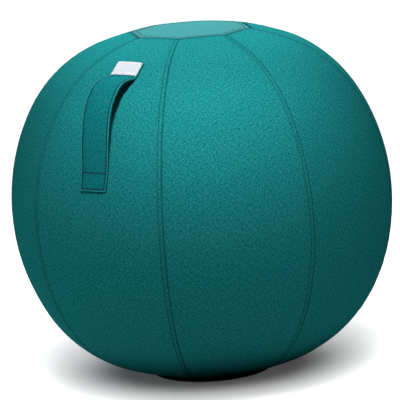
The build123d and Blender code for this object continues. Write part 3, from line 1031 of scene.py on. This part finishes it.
tag = {
    "width": 51.5 * mm,
    "thick": 0.8 * mm,
    "top": math.radians(59.6),
    "bottom": math.radians(51.7),
    "clearance": 0.15 * mm,      # label to strap
    "droop": 0.7 * mm,           # it falls this much over the strap's rounded sides
    "droopWidth": 3.0 * mm,
    "edge": 4.0 * mm,            # band with close steps
    "edgeRound": 0.4 * mm,
    "lengthSteps": (10, 26),
    "widthSteps": (10, 22),
    "fold": 6.0 * mm,            # turned-in hem above and below, and its rise
    "foldRise": 0.22 * mm,
    "foldBlend": 0.6 * mm,
    "foldShade": 0.5,
    "foldShadeWidth": 0.7 * mm,
    "tackTilt": 0.0045,          # tacks above the lower edge, in radians
    "tackSteps": 40,
}
tack = {**stitch, "pitch": 12.0 * mm, "length": 2.8 * mm, "width": 1.2 * mm}


def tagRise(fromSide):
    # outer face of the strap under the label, which droops over the strap's rounded sides
    droop = tag["droop"] * (1 - smoothStep(0, tag["droopWidth"], fromSide))
    return handle["thick"] / 2 + handle["crown"] + tag["clearance"] + tag["thick"] / 2 - droop


def buildTag():
    # the strap's face + the folded hem, half the label's thickness up and down
    tilt, along = strapTilts(tag["bottom"], tag["top"], tag["edge"], *tag["lengthSteps"])
    half = tag["width"] / 2
    across = finePoints(-half, half, tag["edge"], *tag["widthSteps"])[None, :]
    fromSide = half - np.abs(across)
    fromEnd = np.minimum(along, along[-1] - along)
    fat = tag["thick"] / 2 * bandEdge(fromSide, tag["edgeRound"]) * bandEdge(fromEnd, tag["edgeRound"])
    foldStart, foldEnd = tag["fold"] - tag["foldBlend"], tag["fold"] + tag["foldBlend"]
    middle = tagRise(fromSide) + tag["foldRise"] * (1 - smoothStep(foldStart, foldEnd, fromEnd))
    points = [strapPoint(tilt, across, middle + sign * fat) for sign in (1, -1)]
    # painted shade along the fold of the hem
    shade = tag["foldShade"] * bell(fromEnd - tag["fold"], tag["foldShadeWidth"]) + 0 * across
    piece = addSheet("blank_label", *points, onGrid(across, along), shade)
    finishPiece(piece, ribbon, stands=["label"])


def buildTagTacks():
    # a few tacks along the lower edge hold the label to the strap
    half = tag["width"] / 2 - tag["edge"]
    across = np.linspace(-half, half, tag["tackSteps"])
    place = np.full(across.shape, tag["bottom"] + tag["tackTilt"])
    lift = tagRise(np.array(tag["width"])) + tag["thick"] / 2 + tag["foldRise"]
    addStitches("label_tacks", [strapRun(place, across, lift)], tack)


buildTag()
buildTagTacks()
print("label sewn")


# Zip in the rear seam

coil = {
    "pitch": 2.0 * mm,
    "reach": 0.45 * mm,          # tooth to the middle of the chain
    "half": 3.0 * mm,
    "bottom": 0.05 * mm,
    "height": 2.4 * mm,
    "end": math.radians(24.82),
    "toothShare": 0.36,          # half a tooth's width against the pitch
    "stagger": 0.25,             # teeth of both hands lie this share of a pitch off the middle
    "rings": 5,
    "sides": 8,
}


def zipPoint(across, radius, tilt):
    # arc about the middle of the side arc, at the seam's bearing
    out = arcMiddles[0, 0] + radius * np.cos(tilt)
    return toBearing(zipper["bearing"], across, out, radius * np.sin(tilt))


def buildTape(side, name, node):
    # a band from the slit outwards, falling towards its outer edge, with a raised cord
    end = zipper["slotTilt"] + zipper["overhang"] / ball["sideRadius"]
    tilt = np.linspace(-end, end, zipper["rows"])[:, None]
    share = np.linspace(0, 1, zipper["columns"])[None, ::side]
    across = side * (zipper["slitHalf"] + share * (zipper["tapeWidth"] - zipper["slitHalf"]))
    top = zipper["tapeTop"] - zipper["tapeFall"] * np.abs(across) / zipper["tapeWidth"]
    cord = zipper["cord"] * bell(share - zipper["cordAt"], zipper["cordSpread"])
    outer = zipPoint(across, top + cord, tilt)
    inner = zipPoint(across, top - zipper["tape"], tilt)
    # painted shade beside the raised cord
    shade = zipper["line"] * bell(share - zipper["lineAt"], zipper["lineSpread"]) + 0 * tilt
    piece = addSheet(name, outer, inner, onGrid(across, tilt * ball["sideRadius"]), shade)
    finishPiece(piece, woven["zip_tape_cloth"], stands=[node])
    float(2 * end * ball["sideRadius"])


def buildCoil(side, name, node):
    # each tooth is a rounded loop across the chain, from the tape's edge to just short of the middle
    count = int(2 * coil["end"] * ball["sideRadius"] / coil["pitch"])
    tilt = (np.arange(count) - (count - 1) / 2 + coil["stagger"] * side) * coil["pitch"] / ball["sideRadius"]
    points, faces = capsule(coil["rings"], coil["sides"])
    length = coil["half"] - coil["reach"]
    local = points * np.array([length / 2, coil["toothShare"] * coil["pitch"], coil["height"] / 2])
    across = side * (coil["reach"] + length / 2) + local[:, 0]
    radius = zipper["tapeTop"] + coil["bottom"] + coil["height"] / 2 + local[:, 2]
    placed = zipPoint(across[None], radius[None], tilt[:, None] + local[None, :, 1] / ball["sideRadius"])
    blocks = [block[:, ::-1] for block in repeatFaces(faces, count, len(points))]
    finishPiece(addMesh(name, placed, blocks), moulded["coil_nylon"], stands=[node])


for side, hand in ((-1, "left"), (1, "right")):
    buildTape(side, f"zip_tape_cloth_{hand}", f"zip_tape_{hand}")
    buildCoil(side, f"zip_coil_{hand}", f"zip_chain_{hand}")
print("zip sewn in")


# Bladder behind the cloth, dimpled round its valve and pressed in behind the zip

bladder = {
    "inset": 2.6 * mm,
    "endInset": 4.0 * mm,        # drawn in this much more at both ends, over this length
    "endBlend": 50.0 * mm,
    "rows": 140,
    "columns": 192,
    "dimple": 42.0 * mm,         # radius of the dimple, and the share of it that is flat
    "dimpleFlat": 0.4,
    "proud": 0.3 * mm,           # the valve's seat stands this much out of the dimple
    "groove": 10.0 * mm,         # depth and half width behind the zip, and the share that is flat
    "grooveWidth": 30.0 * mm,
    "grooveFlat": 0.2,
    "grooveEnd": 12.0 * mm,
}


def seatFace(facing):
    # how far the valve's seat reaches along this way
    seat = nodes["valve_seat"].data.vertices
    corners = np.empty(3 * len(seat), np.float32)
    seat.foreach_get("co", corners)
    return (corners.reshape(-1, 3) @ facing).max()


def pressIn(points, length):
    # down to the valve's face within the dimple, and by the groove's depth along the zip
    facing = np.array([math.sin(zipper["bearing"]), -math.cos(zipper["bearing"]), 0.0])
    sideways = np.array([-facing[1], facing[0], 0.0])
    low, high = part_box("valve_seat")
    away = np.linalg.norm(np.cross(points - np.array((low + high) / 2), facing), axis=-1)
    depth = points @ facing
    press = 1 - smoothStep(bladder["dimpleFlat"] * bladder["dimple"], bladder["dimple"], away)
    fall = np.maximum(depth - seatFace(facing) + bladder["proud"], 0) * press
    points = points - facing * fall[..., None]
    flat = bladder["grooveFlat"] * bladder["grooveWidth"]
    push = 1 - smoothStep(flat, bladder["grooveWidth"], np.abs(points @ sideways))
    beyond = np.abs(length)[:, None] - ball["sideRadius"] * zipper["slotTilt"]
    push = push * (depth > 0) * (1 - smoothStep(0, bladder["grooveEnd"], beyond)) * (1 - press)
    return points - facing * (bladder["groove"] * push)[..., None]


def buildBladder():
    # mid-gore line of the ball drawn in and turned about the axis, with a point at each end
    length = np.linspace(baseEnd, topEnd, bladder["rows"])
    line = gorePoint(0.0, 0.0, tiltAt(length), -bladder["inset"])
    inside = smoothStep(0, bladder["endBlend"], np.minimum(length - length[0], length[-1] - length))
    reach = -line[:, 1] - bladder["endInset"] * (1 - inside)
    turn = np.linspace(0, 2 * np.pi, bladder["columns"], endpoint=False)[None, :]
    points = pressIn(panelPoints(turn, reach[:, None], line[:, 2:]), length)
    rows, cols = points.shape[:2]
    tips = np.array([[0, 0, points[0, :, 2].mean()], [0, 0, points[-1, :, 2].mean()]])
    low = fanTriangles(0, cols, rows * cols)[:, ::-1]
    high = fanTriangles((rows - 1) * cols, cols, rows * cols + 1)
    everything = np.concatenate([points.reshape(-1, 3), tips])
    piece = addMesh("bladder_skin", everything, [gridQuads(rows, cols, closeCols=True), low, high])
    finishPiece(piece, moulded["bladder_film"], stands=["air_bladder"])


buildBladder()

fittings = {
    "zip_slider": "zip_lacquer",
    "zip_puller": "zip_lacquer",
    "zip_stop_upper": "zip_lacquer",
    "zip_stop_lower": "zip_lacquer",
    "valve_seat": "valve_rubber",
    "valve_plug": "plug_plastic",
}
for name, finish in fittings.items():
    nodes[name].data.materials.clear()
    nodes[name].data.materials.append(moulded[finish])
print("bladder and fittings finished")


# Floor, light and camera

view = {
    "bearing": math.radians(34.0),
    "elevation": math.radians(11.18),
    "distance": 5.577,
    "roll": math.radians(-3.69),
    "lens": 296.5,               # mm, for a sensor of this width
    "sensor": 36.0,
    "ballPixel": (201.38, 197.80),               # the ball's middle in a picture of this many pixels
    "picture": 400.0,
    "clipEnd": 200.0,
}
studio = {
    "floorHalf": 30.0,
    "floorTint": colour(0.92, 0.92, 0.92),
    "floorGlow": (0.06, 0.54, 0.45),             # painted light: little at the ring, more round it, more far off, a painted shadow round the foot
    "glowRadii": ((0.14, 0.31), (0.5, 1.4)),     # distances from the axis over which those two come in
    "shadeRadius": 0.30,         # dark disc just under the floor, which the ball sees in its place
    "shadeDrop": 2.0 * mm,
    "shadeSides": 96,
    "shadeTint": colour(0.01, 0.01, 0.01),
    "air": colour(1.0, 1.0, 1.0),
    "airAbove": (                # light all round, from the upper half and from overhead, and its slopes
        (0.08, (-0.2, 0.1)),
        (0.02, (0.15, 0.65)),
        (0.05, (0.60, 0.95)),
    ),
    "airBelow": (1.20, (0.05, 0.35), (0.6, 1.0)),        # light from below, where it comes in and goes out
    "airFlank": 0.08,            # share of the light all round that comes from the two sides
    "lamps": {                   # bearing, elevation, distance, cone, aim above the middle, radius, power
        "front_lamp": (34.0, 47.0, 2.6, 10.4, 0.13, 0.3, 2020.0),
        "rear_lamp": (214.0, 31.0, 2.6, 15.0, 0.14, 0.3, 1150.0),
        "rim_lamp": (214.0, 18.0, 2.6, 10.0, 0.28, 0.3, 400.0),
        "side_lamp": (-60.0, -4.0, 2.6, 10.0, -0.12, 0.3, 260.0),
    },
    "floorLamps": {              # the same, for the lamps that light the floor alone
        "low_floor_lamp": (34.0, 38.0, 2.6, 44.0, -0.296, 1.0, 360.0),
        "high_floor_lamp": (34.0, 74.0, 2.6, 44.0, -0.296, 1.0, 460.0),
    },
}


def directionTo(bearing, elevation):
    # (sin b cos e, -cos b cos e, sin e)
    flat = math.cos(elevation)
    return Vector((math.sin(bearing) * flat, -math.cos(bearing) * flat, math.sin(elevation)))


def standBack(item, aim, back, distance):
    # puts a lamp or camera this far back from a point on the axis, looking at it
    bpy.context.scene.collection.objects.link(item)
    item.location = Vector((0, 0, ball["middle"] + aim)) + back * distance
    item.rotation_mode = "QUATERNION"
    item.rotation_quaternion = (-back).to_track_quat("-Z", "Y")


def buildFloor():
    # a plain sheet whose painted glow grows with its distance from the axis, (x^2 + y^2)^(1/2), a painted
    # shadow near it
    corners = np.array([[-1.0, -1.0, 0.0], [1.0, -1.0, 0.0], [1.0, 1.0, 0.0], [-1.0, 1.0, 0.0]])
    floor = addMesh("studio_floor", corners * studio["floorHalf"], [np.arange(4)[None, :]])
    paint = Paint(bpy.data.materials.new("studio_floor"))
    east, north = paint.axes(paint.objectPlace(), "XY")
    radius = (east * east + north * north) ** 0.5
    near, beside, far = studio["floorGlow"]
    besideRadii, farRadii = studio["glowRadii"]
    floor.data.materials.append(paint.shader({
        "Base Color": studio["floorTint"],
        "Roughness": 0.8,
        "Emission Color": near + beside * radius.within(*besideRadii) + far * radius.within(*farRadii),
        "Emission Strength": 1.0,
    }))
    floor.visible_diffuse = floor.visible_shadow = False         # the air below lights the ball in its place
    return floor


def buildShade():
    # a disc (cos t, sin t) under the floor, hidden from the camera, that darkens the ball's foot
    turn = np.linspace(0, 2 * np.pi, studio["shadeSides"], endpoint=False)
    rim = onGrid(np.cos(turn), np.sin(turn), 0.0) * studio["shadeRadius"] - [0, 0, studio["shadeDrop"]]
    shade = addMesh("studio_shade", rim, [np.arange(studio["shadeSides"])[None, :]])
    paint = Paint(bpy.data.materials.new("studio_shade"))
    shade.data.materials.append(paint.shader({"Base Color": studio["shadeTint"], "Roughness": 1.0}))
    shade.visible_camera = False


def buildAir():
    # bands of light by the slope of the view; the one all round fades to the sides as cos^4
    air = Paint(bpy.data.worlds.new("studio_air"), "Background")
    east, north, up = air.axes(air.node("ShaderNodeTexCoord", out="Generated"), "XYZ")
    ahead = east * math.sin(view["bearing"]) - north * math.cos(view["bearing"])
    square = ahead * ahead
    front = studio["airFlank"] + (1 - studio["airFlank"]) * (square * square)
    around, upper, overhead = [level * up.within(*slopes) for level, slopes in studio["airAbove"]]
    level, comingIn, goingOut = studio["airBelow"]
    down = 0.0 - up
    below = level * down.within(*comingIn) * (1.0 - down.within(*goingOut))
    strength = around * front + upper + overhead + below
    bpy.context.scene.world = air.shader({"Color": studio["air"], "Strength": strength})


def addLamp(name, settings, floor, lights):
    # a spot lamp that lights the floor alone, or everything but the floor, as panels do in a real studio
    bearing, elevation, distance, cone, aim, radius, power = settings
    spot = bpy.data.lights.new(name, "SPOT")
    spot.energy, spot.shadow_soft_size = power, radius
    spot.spot_size, spot.spot_blend = math.radians(cone), 1.0
    lamp = bpy.data.objects.new(name, spot)
    standBack(lamp, aim, directionTo(math.radians(bearing), math.radians(elevation)), distance)
    group = bpy.data.collections.new(name)
    group.objects.link(floor)
    group.collection_objects[0].light_linking.link_state = lights
    lamp.light_linking.receiver_collection = group


def buildCamera():
    # looks at the ball's middle, which the shifts put at its place in the picture
    camera = bpy.data.objects.new("photo_camera", bpy.data.cameras.new("photo_camera"))
    standBack(camera, 0.0, directionTo(view["bearing"], view["elevation"]), view["distance"])
    camera.rotation_quaternion = camera.rotation_quaternion @ Quaternion((0, 0, 1), view["roll"])
    camera.data.lens, camera.data.sensor_width = view["lens"], view["sensor"]
    camera.data.shift_x = -(view["ballPixel"][0] / view["picture"] - 0.5)
    camera.data.shift_y = view["ballPixel"][1] / view["picture"] - 0.5
    camera.data.clip_end = view["clipEnd"]
    bpy.context.scene.camera = camera


floor = buildFloor()
buildShade()
buildAir()
for lights, lamps in (("EXCLUDE", studio["lamps"]), ("INCLUDE", studio["floorLamps"])):
    for name, settings in lamps.items():
        addLamp(name, settings, floor, lights)
buildCamera()
bpy.context.scene.view_settings.view_transform = "Standard"
print("studio ready")
